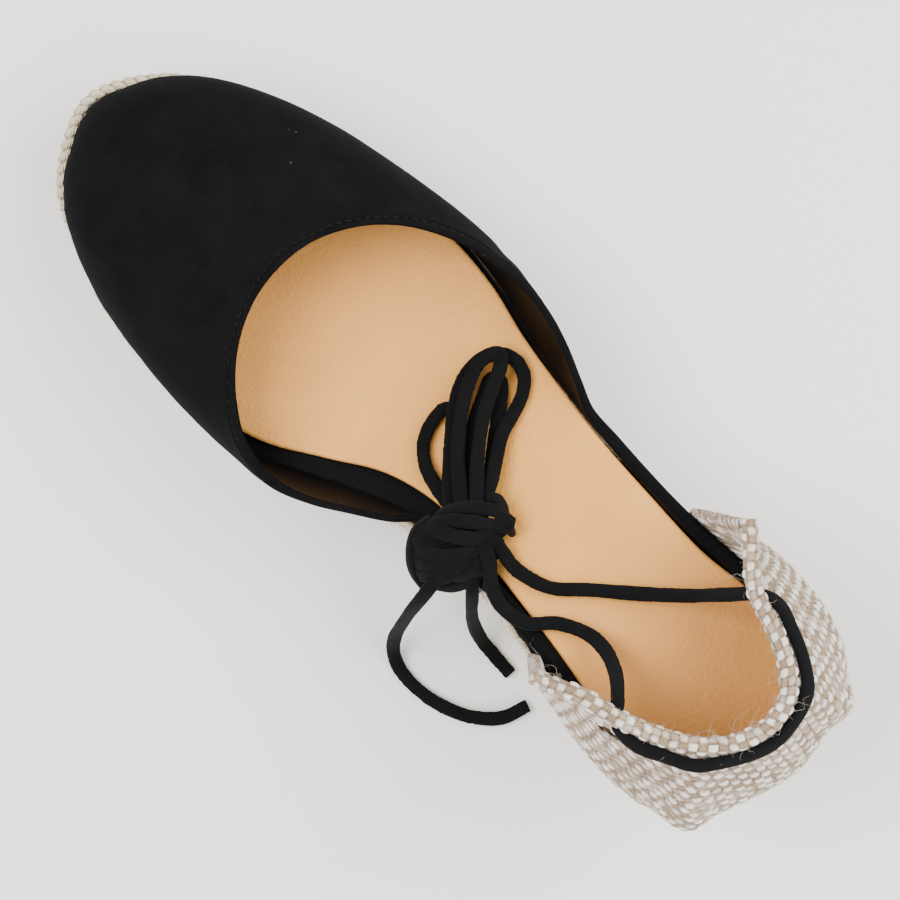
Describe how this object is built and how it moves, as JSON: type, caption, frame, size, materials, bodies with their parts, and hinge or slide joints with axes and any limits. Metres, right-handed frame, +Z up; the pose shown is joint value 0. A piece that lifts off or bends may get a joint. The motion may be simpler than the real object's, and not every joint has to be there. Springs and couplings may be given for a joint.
{
  "type": "espadrille",
  "caption": "Wedge espadrille, right shoe: jute sole, suede vamp with waist tails, woven heel cup and a suede lace tied in a bow on the inner side.",
  "frame": {"origin": "on the floor, under the middle of the shoe without its free lace", "axes": "+Z up, +Y towards the toe, +X towards the outer (lateral) side of the foot"},
  "size_m": [0.0936, 0.2397, 0.106],
  "materials": {
    "jute": "braided natural jute, matt and fuzzy",
    "insole_leather": "tan leather, fine grain, soft sheen",
    "suede": "black suede, matt nap",
    "woven_cloth": "coarse basket weave of cream and tan yarn",
    "lace_suede": "black suede lace, matt nap"
  },
  "bodies": {
    "root": {"sole": "jute", "insole": "insole_leather", "upper": "suede", "counter": "woven_cloth", "lace_run": "lace_suede", "lace_knot": "lace_suede", "lace_loop_left": "lace_suede", "lace_loop_right": "lace_suede", "lace_loop_top": "lace_suede", "lace_end_short": "lace_suede", "lace_end_long": "lace_suede"}
  },
  "joints": []
}
